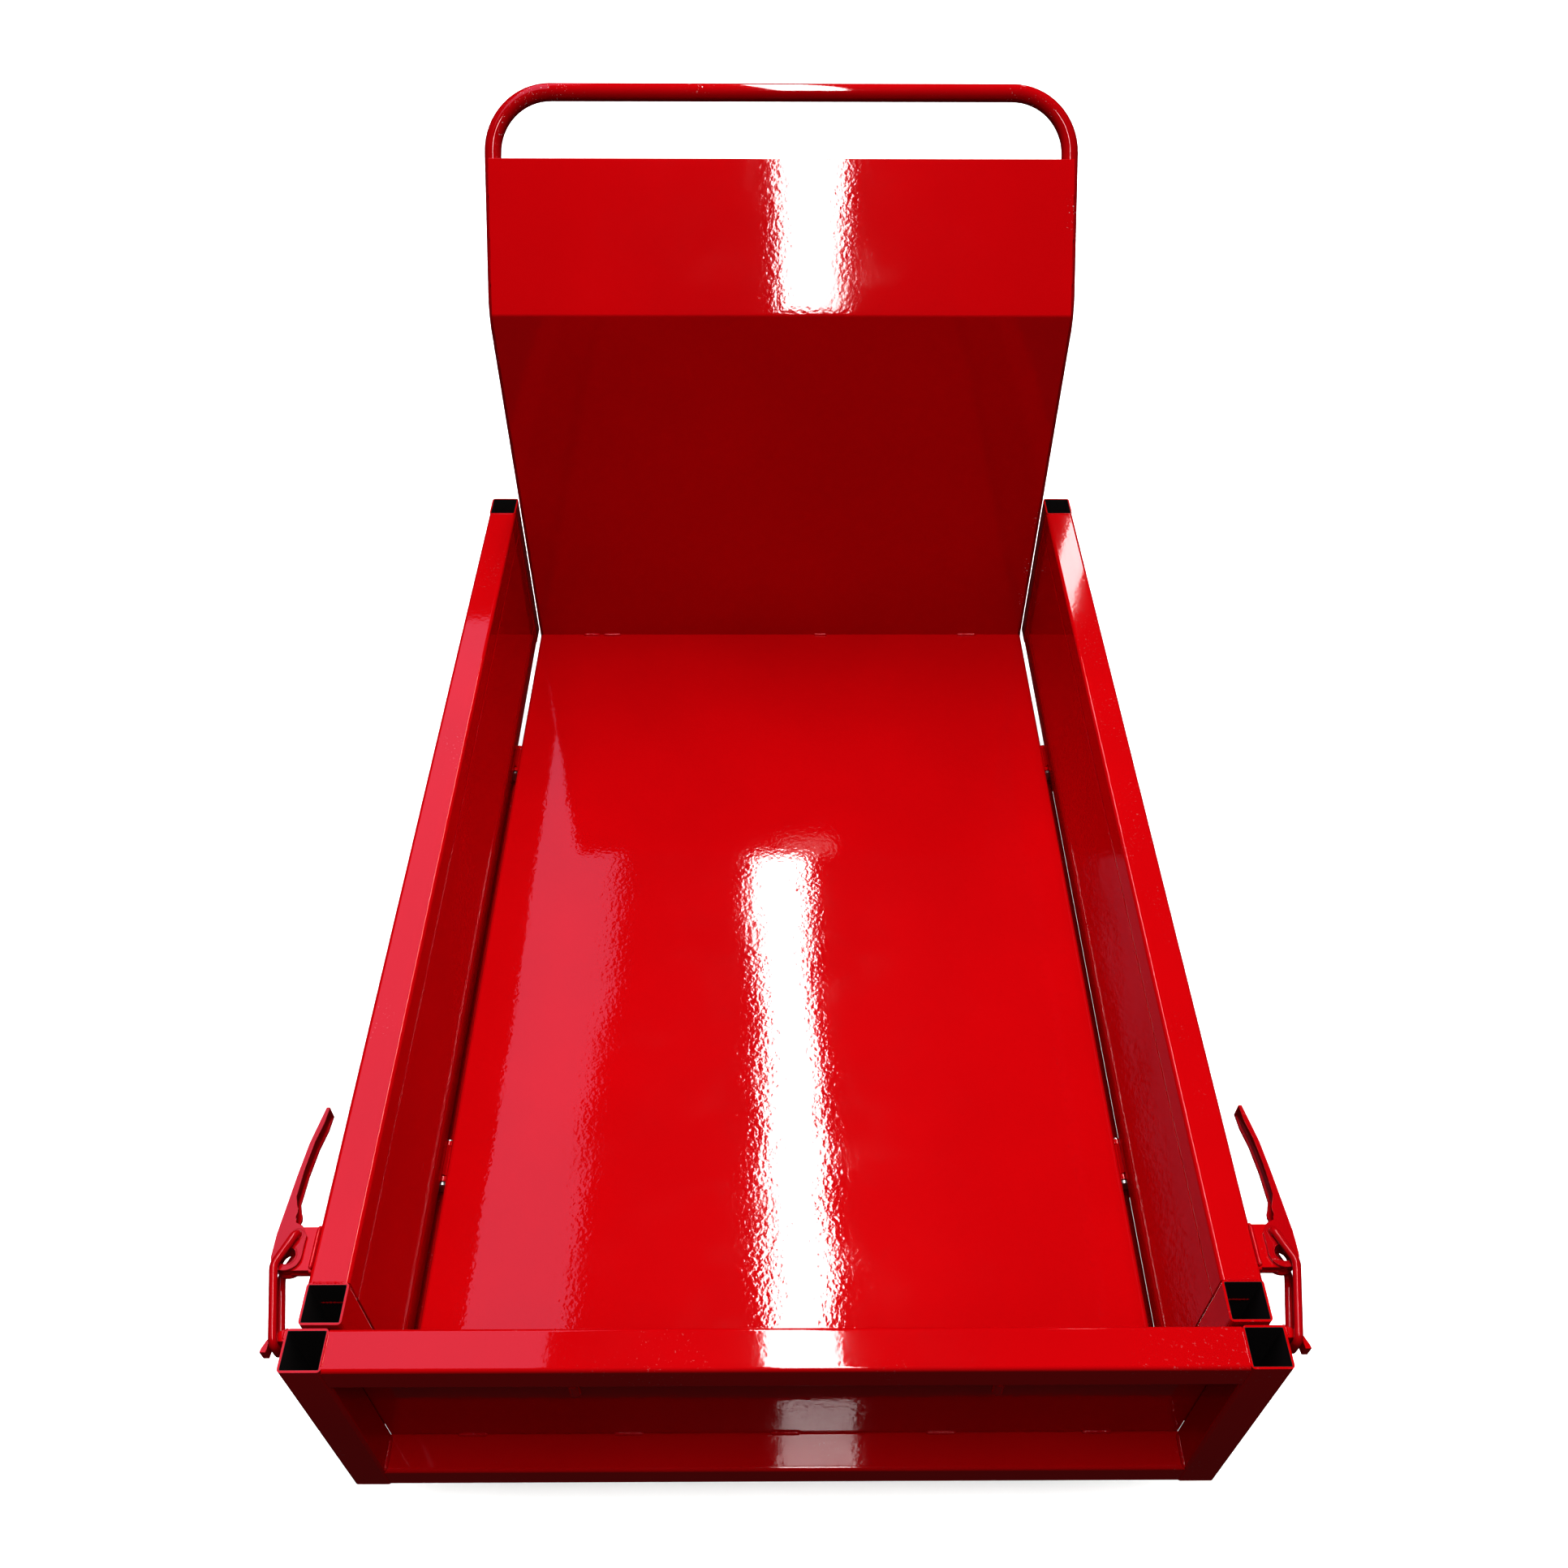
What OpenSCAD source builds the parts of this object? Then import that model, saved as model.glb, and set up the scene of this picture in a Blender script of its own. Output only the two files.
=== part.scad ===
// Drop-side load tray: three hinged gates, two over-centre corner latches,
// a bent headboard with a tube hoop, and the underframe it tips on.
// X is across, Y runs from the front gate back to the headboard, Z is up.

/* [Load space] */
// Clear width between the side gates
inner_w = 617; // [450:1:900]
// Clear length from the front gate to the headboard
inner_l = 955; // [700:1:1500]
// Height of the front gate
gate_h = 240; // [200:1:340]
// Height of the floor's top above the front gate's lower edge
floor_h = 48; // [44:0.5:60]
// Height of the side gates' lower edge above the front gate's
side_h0 = 42; // [40:0.5:43]

/* [Gate frames] */
// Outside of the square gate tube
tube = 30; // [25:1:40]
// Wall of the square gate tube
tube_t = 1.8; // [1.5:0.1:3]
// Outside corner radius of the square gate tube
tube_r = 3; // [2:0.5:4]
// Thickness of the gate panels
panel_t = 1.5; // [1:0.1:3]
// How far the front gate reaches past each side gate
gate_over = 7; // [4:0.5:14]
// Gap between the front gate and the side gates' ends
gate_gap = 2.4; // [1.5:0.1:4]
// How far the side gates reach behind the headboard's face
side_tail = 20; // [10:1:40]

/* [Floor and headboard] */
// Thickness of the floor sheet
floor_t = 2; // [1.5:0.1:4]
// Gap between the floor's edge and each side gate
floor_gap = 4.5; // [3:0.1:8]
// Depth of the floor's folded edge below its top
floor_lip = 8; // [6:0.5:8]
// Inside radius of the floor's folded edge
floor_bend = 2; // [1:0.5:3]
// Thickness of the headboard sheet
head_t = 2; // [1.5:0.1:4]
// Height of the headboard's fold above the floor
head_fold = 433.5; // [300:0.5:600]
// Angle by which the headboard's upper part leans back
head_lean = 40; // [20:1:50]
// Length of the headboard's leaning part
head_up = 156; // [100:1:220]
// Gap between the headboard sheet's edge and the hoop's outside
head_inset = 5; // [2:0.5:12]
// Outside diameter of the hoop tube
hoop_d = 17; // [15:0.5:25]
// Wall of the hoop tube
hoop_t = 1.5; // [1:0.1:3]
// Gap between the hoop and each side gate
hoop_gap = 2.5; // [2:0.1:8]
// Length from the fold to the hoop's top bar
hoop_up = 220; // [180:1:300]
// Centre-line radius of the hoop's top corners
hoop_corner = 60; // [40:1:90]
// Centre-line radius of the hoop's bend at the fold
hoop_bend = 60; // [40:1:80]

/* [Underframe] */
// Height of the two base rails
rail_h = 80; // [70:1:120]
// Width of the two base rails
rail_w = 40; // [30:1:60]
// Wall of the base rails and of their closed ends
rail_t = 3; // [2:0.1:5]
// Width of the sills under the floor's edges
sill_w = 54; // [40:1:60]
// Reach of the side sills beyond the inner face of a side gate
sill_out = 7.5; // [4:0.5:8]
// Thickness of the sills
sill_t = 3; // [2:0.5:5]
// Distance between the base rails' centre lines
rail_span = 340; // [260:1:350]
// Distance the base rails are set in from the floor's front edge
rail_front = 10; // [8:1:100]
// Distance the base rails stop short of the headboard
rail_rear = 5; // [5:1:80]
// Distance of the tipping pivot behind the front gate
pivot_y = 190; // [120:1:300]
// Height of the tipping pivot above the base rails' underside
pivot_z = 28; // [22:1:40]
// Bore of the tipping pivot's bushes
pivot_bore = 20.4; // [16.2:0.1:25]
// Wall of the tipping pivot's bushes
pivot_wall = 6; // [4:0.5:8]
// How far each bush stands proud of its rail
pivot_proud = 3; // [1:0.5:6]
// Distance of the strut lug behind the front gate
strut_y = 520; // [420:1:640]
// Bore of the strut lug
strut_bore = 12.4; // [8.2:0.1:16.4]
// Thickness of each ear of the strut lug
strut_ear = 6; // [5:0.5:10]
// Gap between the ears of the strut lug
strut_gap = 20; // [16:0.5:30]
// Depth of the strut lug's bore below the cross-members
strut_drop = 22; // [18:1:30]

/* [Hinges] */
// Diameter of the hinge pins
pin_d = 8; // [6:0.5:10]
// Radial clearance of a hinge pin in the fixed ears
pin_fix = 0.04; // [0.02:0.01:0.1]
// Radial clearance of a hinge pin in the moving lug
pin_run = 0.1; // [0.05:0.01:0.1]
// Depth of the front hinge pins below the front gate
fhinge_z = 10; // [9.5:0.5:12]
// Depth of the side hinge pins below the side gates
shinge_z = 11; // [10.5:0.5:12]
// Distance between the front hinges
fhinge_span = 460; // [440:1:540]
// Width of the front hinges' moving lugs
fhinge_w = 24; // [16:1:40]
// Thickness of the fixed hinge ears
ear_t = 5; // [4:0.5:8]
// Side clearance between a lug and its ears
lug_side = 0.4; // [0.3:0.1:1]
// Distance of the front side-hinges behind the front gate
shinge_y1 = 233; // [180:1:280]
// Distance of the rear side-hinges behind the front gate
shinge_y2 = 746; // [600:1:820]
// Gap left at the stops when a gate is level
stop_gap = 0.3; // [0.2:0.1:1]

/* [Latches] */
// Distance from a side gate's outer face to the lever's pivot
lat_out = 18.6; // [17:0.1:22]
// Distance of the lever's pivot behind the front gate
lat_y = 51.3; // [48:0.1:70]
// Depth of the latch's middle below the gates' tops
lat_z = 5; // [5:0.5:12]
// Height of the latch bracket, over its two ears
brk_h = 10; // [8:0.5:14]
// Thickness of the latch bracket's ears
brk_t = 2.5; // [2:0.1:4]
// Clearance between the ears and the lever's flanges
lev_run = 0.2; // [0.15:0.05:0.5]
// Thickness of the lever's pressed sheet
lev_t = 2.2; // [1.5:0.1:3]
// Thickness of the lever's web
web_t = 1.8; // [1.5:0.1:3]
// Length of the lever's handle behind the pivot
lev_l = 119; // [90:1:160]
// Radius of the lever's nose
nose_r = 10.9; // [10.9:0.1:12]
// Outside radius of the hollow pivot
piv_r = 7.3; // [6:0.1:7.3]
// Wall of the hollow pivot
piv_t = 1; // [0.8:0.1:2]
// Diameter of the bail's rod
rod_d = 6; // [5:0.5:6]
// Clearance between the lever and the bail's legs
leg_run = 0.3; // [0.3:0.1:1]
// Distance of the bail's toes behind the lever's pivot
toe_y = 15.7; // [14:0.1:17]
// Distance of the bail's toes inboard of the lever's pivot
toe_x = 4.1; // [3:0.1:5]
// Outside diameter of the bushes around the toes
bush_d = 8.8; // [8:0.1:10]
// Radial clearance of the toes in their bushes
toe_run = 0.08; // [0.05:0.01:0.1]
// Gap between the bail's cross bar and the front gate's post
bar_out = 2; // [1.8:0.1:3]
// Distance of the bail's cross bar ahead of the gate's inner face
bar_y = 12.5; // [10:0.1:14]
// Outboard bulge of the bail's legs at the lever's nose
leg_out = 6.4; // [5:0.1:8]
// Clearance behind the cross bar in the keeper
keep_back = 1.1; // [1:0.1:2]
// Clearance outboard of the cross bar in the keeper
keep_side = 2.2; // [2:0.1:3]
// Thickness of the keeper's lip
keep_lip = 4.2; // [3:0.1:6]
// Height of the keeper
keep_h = 11; // [8:0.5:14]

/* [Rope pegs] */
// Distance between the rope pegs under the top rail
peg_span = 298; // [200:1:420]
// Diameter of the rope pegs
peg_d = 8; // [6:0.5:10]
// Length of the pegs' hanging ends
peg_l = 20; // [14:1:30]

/* [Hidden] */
$fn = 48;
xi = inner_w/2;                       // inner face of a side gate
xo = xi + tube;                       // outer face of a side gate
xg = xo + gate_over;                  // outer face of the front gate's post
y0 = tube;                            // inner face of the front gate
yh = y0 + inner_l;                    // front face of the headboard
ys = y0 + gate_gap;                   // front end of the side gates
yt = yh + side_tail;                  // rear end of the side gates
zf = floor_h - floor_t;               // underside of the floor
zc = zf - tube;                       // underside of the cross-members
zb = zc - rail_h;                     // underside of the base rails
hr = hoop_d/2;
xh = xi - hoop_gap - hr;              // centre line of the hoop's legs
hy = yh + head_t + hr + 0.1;          // centre line of the legs, in Y
hf = floor_h + head_fold - (hy - yh)*tan(head_lean/2);
ht = hoop_bend*tan(head_lean/2);      // tangent length of the hoop's bend
hoop_back = hy + hoop_up*sin(head_lean) + hr;
y_mid = hoop_back/2;
pr = pin_d/2;
// hinge axes
fy = y0 + 1;                          // front gate: Y and Z of its pins
fz = -fhinge_z;
sx = xi + 1;                          // side gates: X and Z of their pins
sz = side_h0 - shinge_z;
fear = fhinge_z - 1;                  // radius of the front ears and lugs
sear = shinge_z - 3;                  // radius of the side ears and lugs
cross_y = [y0 + 6, y0 + shinge_y1 - tube/2, y0 + shinge_y2 - tube/2, yh - tube];
// latch
px = xo + lat_out;                    // lever pivot
py = y0 + lat_y;
pz = gate_h - lat_z;
lev_in = brk_h/2 + lev_run;           // inner face of a lever flange, from the middle
lev_h = lev_in + lev_t;               // outer face of a lever flange
leg_z = lev_h + leg_run + rod_d/2;    // centre line of a bail leg
bar_r = rod_d/2 + 0.3;                // a bail's cross bar
tx = px - toe_x;                      // toes
ty = py + toe_y;
kx = xg + bar_out + rod_d/2;          // cross bar
ky = y0 - bar_y;
mx = px + leg_out;                    // bend in the legs
my = py - 8;

red = [0.78, 0.02, 0.04];
dark = [0.25, 0.25, 0.27];

// places a piece in the shared frame
module place() { translate([0, -y_mid, -zb]) children(); }
// places a right-hand piece, or its mirror image on the left
module side(s) { if (s > 0) place() children(); else mirror([1, 0, 0]) place() children(); }

// a bar of section w by h with round edges, along Z
module rbar(w, h, l, r) {
  translate([r, 0, 0]) cube([w - 2*r, h, l]);
  translate([0, r, 0]) cube([w, h - 2*r, l]);
  for (x = [r, w - r], y = [r, h - r]) translate([x, y, 0]) cylinder(r = r, h = l);
}
// a tube with that section
module rtube(w, h, l, r, t) {
  difference() {
    rbar(w, h, l, r);
    translate([t, t, -1]) rbar(w - 2*t, h - 2*t, l + 2, max(r - t, 0.5));
  }
}
module tube_z(l) { rtube(tube, tube, l, tube_r, tube_t); }
module tube_x(l) { rotate([90, 0, 90]) rtube(tube, tube, l, tube_r, tube_t); }
module tube_y(l) { translate([0, l, 0]) rotate([90, 0, 0]) rtube(tube, tube, l, tube_r, tube_t); }
// extrudes a polygon given in Y and Z along X, from x
module along_x(x, w) { translate([x, 0, 0]) rotate([90, 0, 90]) linear_extrude(w) children(); }
// extrudes a polygon given in X and Z along Y, from y
module along_y(y, w) { translate([0, y + w, 0]) rotate([90, 0, 0]) linear_extrude(w) children(); }
module cyl_x(x, w, r) { translate([x, 0, 0]) rotate([0, 90, 0]) cylinder(r = r, h = w); }
module cyl_y(y, w, r) { translate([0, y + w, 0]) rotate([90, 0, 0]) cylinder(r = r, h = w); }

// ---- bed ----
module floor_pan() color(red) place() {
  w = xi - floor_gap;
  b = floor_bend + floor_t;
  translate([-w + b, y0 + 2, zf]) cube([2*w - 2*b, inner_l - 2, floor_t]);
  for (s = [0, 1]) mirror([s, 0, 0]) {
    translate([w - floor_t, y0 + 2, floor_h - floor_lip]) cube([floor_t, inner_l - 2, floor_lip - b]);
    translate([w - b, y0 + 2, floor_h - b]) intersection() {
      translate([0, inner_l - 2, 0]) rotate([90, 0, 0]) difference() {
        cylinder(r = b, h = inner_l - 2);
        translate([0, 0, -1]) cylinder(r = floor_bend, h = inner_l);
      }
      cube([b + 1, inner_l - 2, b + 1]);
    }
  }
}
module cross_member(i) color(red) place()
  translate([-(xi - 10.5), cross_y[i], zc]) tube_x(2*(xi - 10.5));
module base_rail(s) color(red) side(s) difference() {
  translate([rail_span/2 - rail_w/2, yh - rail_rear, zb]) rotate([90, 0, 0]) difference() {
    l = inner_l - rail_front - rail_rear;
    rbar(rail_w, rail_h, l, 5);
    translate([rail_t, rail_t, rail_t])
      rbar(rail_w - 2*rail_t, rail_h - 2*rail_t, l - 2*rail_t, 5 - min(rail_t, 4.5));
  }
  translate([0, y0 + pivot_y, zb + pivot_z]) cyl_x(0, xi, pivot_bore/2 + pivot_wall + 0.03);
}
// flat bars under the floor's edge, from the front cross-member to the rear hinge
module side_sill(s) color(red) side(s) {
  for (r = [[y0 + 6, cross_y[1] - ear_t], [cross_y[1] + tube + ear_t, cross_y[2] - ear_t]])
    translate([xi + sill_out - sill_w, r[0], zc - sill_t]) cube([sill_w, r[1] - r[0], sill_t]);
}
module pivot_bush(s) color(dark) side(s)
  translate([rail_span/2, y0 + pivot_y, zb + pivot_z]) difference() {
    cyl_x(-rail_w/2 - pivot_proud, rail_w + 2*pivot_proud, pivot_bore/2 + pivot_wall);
    cyl_x(-rail_w/2 - pivot_proud - 1, rail_w + 2*pivot_proud + 2, pivot_bore/2);
  }
module strut_lug() color(red) place() translate([0, y0 + strut_y, zc]) difference() {
  union() {
    // bridge plate between the two nearest cross-members, and two ears
    translate([-40, cross_y[1] - y0 - strut_y, -5]) cube([80, cross_y[2] - cross_y[1] + tube, 5]);
    for (s = [-1, 1]) {
      x = s > 0 ? strut_gap/2 : -strut_gap/2 - strut_ear;
      along_x(x, strut_ear) polygon([[-30, -5], [30, -5], [12, -strut_drop], [-12, -strut_drop]]);
      translate([0, 0, -strut_drop]) cyl_x(x, strut_ear, 12);
    }
  }
  translate([0, 0, -strut_drop]) cyl_x(-60, 120, strut_bore/2);
}
module headboard() color(red) place() {
  w = xh + hr - head_inset;
  c = cos(head_lean);
  s = sin(head_lean);
  k = head_t*tan(head_lean/2);
  zt = floor_h + head_fold;
  along_x(-w, 2*w) polygon([[yh, zc], [yh + head_t, zc], [yh + head_t, zt - k],
    [yh + head_up*s + head_t*c, zt + head_up*c - head_t*s], [yh + head_up*s, zt + head_up*c], [yh, zt]]);
}
// a bend of rod from the Z direction towards +X
module turn(a, r, q) translate([r, 0, 0]) rotate([90, 0, 0]) mirror([1, 0, 0])
  rotate_extrude(angle = a) translate([r, 0]) circle(r = q);
// the hoop's path, filled to radius q, with its feet e below the floor frame;
// the bends are a trace fuller than the straights, which run into them
module hoop_path(q, e) {
  up = hoop_up - hoop_corner;
  b = q + 0.05;
  for (s = [0, 1]) mirror([s, 0, 0]) {
    translate([xh, hy, zc - e]) cylinder(r = q, h = hf - ht - zc + e + 0.5);
    translate([xh, hy, hf - ht]) rotate([0, 0, 90]) turn(head_lean, hoop_bend, b);
    translate([xh, hy, hf]) rotate([-head_lean, 0, 0]) {
      translate([0, 0, ht - 0.5]) cylinder(r = q, h = up - ht + 1);
      translate([0, 0, up]) rotate([0, 0, 180]) turn(90, hoop_corner, b);
    }
  }
  translate([0, hy, hf]) rotate([-head_lean, 0, 0]) translate([-(xh - hoop_corner) - 0.5, 0, hoop_up])
    rotate([0, 90, 0]) cylinder(r = q, h = 2*(xh - hoop_corner) + 1);
}
module hoop() color(red) place() difference() {
  hoop_path(hr, 0);
  hoop_path(hr - hoop_t, 1);
}

// ---- hinges ----
// ears hang from the front cross-member and carry the stop
module front_ear(x) {
  difference() {
    union() {
      translate([0, fy, fz]) cyl_x(x, ear_t, fear);
      along_x(x, ear_t) polygon([[fy, zc], [fy + 26, zc], [fy + 26, zc - 10], [fy + 8, fz - tube - 1],
        [fy - fhinge_z + stop_gap, fz - tube - 1], [fy - fhinge_z + stop_gap, fz - 11], [fy - 4, fz - 6],
        [fy - 2, fz], [fy, fz + 4]]);
    }
    translate([0, fy, fz]) cyl_x(x - 1, ear_t + 2, pr + pin_fix);
  }
}
module front_hinge_ears() color(red) place() for (s = [-1, 1]) {
  c = s*fhinge_span/2;
  front_ear(c - fhinge_w/2 - lug_side - ear_t);
  front_ear(c + fhinge_w/2 + lug_side);
}
module front_hinge_pins() color(dark) place() for (s = [-1, 1]) {
  l = fhinge_w + 2*lug_side + 2*ear_t;
  translate([s*fhinge_span/2 - l/2, fy, fz]) {
    cyl_x(-0.3, l + 3, pr);
    cyl_x(-3.3, 3, pr + 2.5);
    difference() {
      cyl_x(l + 0.3, 2, pr + 1.5);
      cyl_x(l, 3, pr);
    }
  }
}
module front_hinge_lugs() color(red) place() for (s = [-1, 1]) {
  x = s*fhinge_span/2 - fhinge_w/2;
  difference() {
    union() {
      translate([0, fy, fz]) cyl_x(x, fhinge_w, fear);
      along_x(x, fhinge_w) polygon([[8, 0], [y0 - 0.5, 0], [fy + 4, fz + 4], [fy, fz - fear + 0.5],
        [fy - 7, fz - 5]]);
    }
    translate([0, fy, fz]) cyl_x(x - 1, fhinge_w + 2, pr + pin_run);
  }
}
// ears lie against the cross-member's two faces and carry the stop
module side_ear(y) {
  difference() {
    union() {
      translate([sx, 0, sz]) cyl_y(y, ear_t, sear);
      along_y(y, ear_t) polygon([[xi - 52, zc + 2], [xi - 52, zf - 9], [sx - 2, sz + sear - 0.5],
        [sx + 2, sz],
        [sx + 7, sz - 12], [sx + shinge_z - stop_gap, sz - 13], [sx + shinge_z - stop_gap, sz - tube + 1],
        [sx, sz - tube + 1]]);
    }
    translate([sx, 0, sz]) cyl_y(y - 1, ear_t + 2, pr + pin_fix);
  }
}
module side_hinge_ears(s) color(red) side(s) for (i = [1, 2]) {
  side_ear(cross_y[i] - ear_t);
  side_ear(cross_y[i] + tube);
}
module side_hinge_pins(s) color(dark) side(s) for (i = [1, 2]) {
  l = tube + 2*ear_t;
  translate([sx, cross_y[i] - ear_t, sz]) {
    cyl_y(-0.3, l + 3, pr);
    cyl_y(-3.3, 3, pr + 2.5);
    difference() {
      cyl_y(l + 0.3, 2, pr + 1.5);
      cyl_y(l, 3, pr);
    }
  }
}
module side_hinge_lugs(s) color(red) side(s) for (i = [1, 2]) {
  y = cross_y[i] + lug_side;
  w = tube - 2*lug_side;
  difference() {
    union() {
      translate([sx, 0, sz]) cyl_y(y, w, sear);
      along_y(y, w) polygon([[xi + 0.5, side_h0], [xi + 18, side_h0], [sx + 6, sz - 5], [sx, sz - sear + 0.5],
        [sx - 5, sz + 4]]);
    }
    translate([sx, 0, sz]) cyl_y(y - 1, w + 2, pr + pin_run);
  }
}

// ---- front gate ----
module front_rail(z) color(red) place() translate([-(xg - tube), 0, z]) tube_x(2*(xg - tube));
module front_post(s) color(red) side(s) translate([xg - tube, 0, 0]) tube_z(gate_h);
module front_panel() color(red) place()
  translate([-(xg - tube), y0 - panel_t, tube]) cube([2*(xg - tube), panel_t, gate_h - 2*tube]);
module keeper(s) color(red) side(s) translate([0, 0, pz - keep_h/2 - 1.3]) {
  b = ky + rod_d/2 + keep_back;
  l = kx + rod_d/2 + keep_side;
  linear_extrude(keep_h) polygon([[xg, b + 8.5], [xg + 4, b + 7], [l + 1.5, b + 1], [l + keep_lip, b - 5],
    [l + keep_lip + 0.4, b - 7.5], [l + 0.5, b - 7.5], [l, b - 4], [l, b - 2], [l - 2, b], [xg, b]]);
}
module rope_pegs() color(red) place() for (s = [-1, 1]) {
  r = peg_d/2;
  z = gate_h - tube - r - 2;
  translate([s*peg_span/2, 0, 0]) {
    translate([0, r + 1.5, z]) rotate([-90, 0, 0]) cylinder(r = r, h = y0 - panel_t - r - 1.5);
    translate([0, r + 1.5, z]) sphere(r = r);
    translate([0, r + 1.5, z - peg_l + r]) cylinder(r = r, h = peg_l - r);
    translate([0, r + 1.5, z - peg_l + r]) sphere(r = r);
  }
}

// ---- side gates ----
module side_rail(s, z) color(red) side(s) translate([xi, ys + tube, z]) tube_y(yt - ys - 2*tube);
module side_post(s, y) color(red) side(s) translate([xi, y, side_h0]) tube_z(gate_h - side_h0);
module side_panel(s) color(red) side(s)
  translate([xi, ys + tube, side_h0 + tube]) cube([panel_t, yt - ys - 2*tube, gate_h - side_h0 - 2*tube]);

// ---- latches, drawn about the lever's pivot ----
// mirrors a piece about the latch's middle plane
module both() { children(); mirror([0, 0, 1]) children(); }
module at_pivot(s) { side(s) translate([px, py, pz]) children(); }
module latch_bracket(s) color(red) at_pivot(s) {
  both() difference() {
    translate([0, 0, brk_h/2 - brk_t]) union() {
      cylinder(r = piv_r + 1.5, h = brk_t);
      linear_extrude(brk_t)
        polygon([[-lat_out, -10], [-3, -10], [-3, 0], [6, 6], [-3, 22.5], [-lat_out, 22.5]]);
    }
    cylinder(r = piv_r + 0.03, h = brk_h);
  }
  translate([-lat_out, -10, -brk_h/2 + brk_t]) cube([3, 32.5, brk_h - 2*brk_t]);
}
module latch_pivot(s) color(dark) at_pivot(s) difference() {
  translate([0, 0, -lev_h]) cylinder(r = piv_r, h = 2*lev_h);
  translate([0, 0, -lev_h - 1]) cylinder(r = piv_r - piv_t, h = 2*lev_h + 2);
}
// outboard line of the lever, from its tip to its nose, set in by d
function lever_line(d) = [[-2.5 - d, lev_l], [-0.2 - d, lev_l - 11], [nose_r - 7 - d, lev_l*0.74],
  [nose_r - 4 - d, lev_l*0.51], [nose_r - 1.8 - d, lev_l*0.3], [nose_r - d, 16], [nose_r - d, -2.7]];
module lever(s) color(red) at_pivot(s) {
  both() difference() {
    translate([0, 0, lev_in]) union() {
      cylinder(r = nose_r, h = lev_t);
      linear_extrude(lev_t) polygon(concat(lever_line(0), [[nose_r, 0], [-nose_r + 0.3, 0], [-nose_r, 15],
        [-nose_r + 4.5, 22.5], [-1, 25], [0, 35.5], [1.5, 39], [3.4, lev_l*0.38], [2.4, lev_l*0.57],
        [-0.3, lev_l*0.76], [-3.8, lev_l*0.89], [-5, lev_l]]));
    }
    cylinder(r = piv_r + 0.08, h = lev_h + 1);
    translate([-toe_x, toe_y, 0]) cylinder(r = bush_d/2 + 0.06, h = lev_h + 1);
    translate([-4.6, 30, 0]) cylinder(r = 4.8, h = lev_h + 1);
  }
  // web, and the closed tip of the handle
  translate([0, 0, -lev_in]) linear_extrude(2*lev_in)
    polygon(concat(lever_line(0), [for (i = [6:-1:0]) lever_line(web_t)[i]]));
  translate([-5, lev_l - 2, -lev_in]) cube([2.5, 2, 2*lev_in]);
}
module toe_bushes(s) color(dark) at_pivot(s) both() translate([-toe_x, toe_y, lev_in]) difference() {
  cylinder(r = bush_d/2, h = lev_t);
  translate([0, 0, -1]) cylinder(r = rod_d/2 + toe_run, h = lev_t + 2);
}
// a round rod between two points
module rod(a, b, r) {
  d = b - a;
  translate(a) rotate([0, acos(d[2]/norm(d)), atan2(d[1], d[0])]) cylinder(r = r, h = norm(d));
}
module bail(s) color(red) side(s) {
  r = rod_d/2;
  translate([0, 0, pz]) {
    translate([kx, ky, -leg_z - r]) cylinder(r = bar_r, h = 2*(leg_z + r));
    for (m = [-1, 1]) {
      rod([kx, ky, m*leg_z], [mx, my, m*leg_z], r);
      rod([tx, ty, m*leg_z], [mx, my, m*leg_z], r - 0.2);
      translate([mx, my, m*leg_z]) sphere(r = r + 0.3);
      translate([tx, ty, m > 0 ? lev_in + 0.1 : -leg_z - r]) cylinder(r = r, h = leg_z + r - lev_in - 0.1);
    }
  }
}

floor_pan();
cross_member(0);  // cross_member_1
cross_member(1);  // cross_member_2
cross_member(2);  // cross_member_3
cross_member(3);  // cross_member_4
side_sill(-1);  // side_sill_left
side_sill(1);  // side_sill_right
base_rail(-1);  // base_rail_left
base_rail(1);  // base_rail_right
headboard();
hoop();
pivot_bush(-1);  // pivot_bush_left
pivot_bush(1);  // pivot_bush_right
strut_lug();
front_hinge_ears();
side_hinge_ears(-1);  // left_hinge_ears
side_hinge_ears(1);  // right_hinge_ears
front_hinge_pins();
side_hinge_pins(-1);  // left_hinge_pins
side_hinge_pins(1);  // right_hinge_pins
front_rail(gate_h - tube);  // front_top_rail
front_rail(0);  // front_bottom_rail
front_post(-1);  // front_post_left
front_post(1);  // front_post_right
front_panel();
front_hinge_lugs();
keeper(-1);  // keeper_left
keeper(1);  // keeper_right
rope_pegs();
side_rail(-1, gate_h - tube);  // left_top_rail
side_rail(-1, side_h0);  // left_bottom_rail
side_post(-1, ys);  // left_front_post
side_post(-1, yt - tube);  // left_rear_post
side_panel(-1);  // left_panel
side_hinge_lugs(-1);  // left_hinge_lugs
latch_bracket(-1);  // left_latch_bracket
latch_pivot(-1);  // left_latch_pivot
lever(-1);  // left_lever
toe_bushes(-1);  // left_toe_bushes
bail(-1);  // left_bail
side_rail(1, gate_h - tube);  // right_top_rail
side_rail(1, side_h0);  // right_bottom_rail
side_post(1, ys);  // right_front_post
side_post(1, yt - tube);  // right_rear_post
side_panel(1);  // right_panel
side_hinge_lugs(1);  // right_hinge_lugs
latch_bracket(1);  // right_latch_bracket
latch_pivot(1);  // right_latch_pivot
lever(1);  // right_lever
toe_bushes(1);  // right_toe_bushes
bail(1);  // right_bail
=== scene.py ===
import bpy, bmesh, math, random
from mathutils import Vector, Matrix, Quaternion


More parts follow.
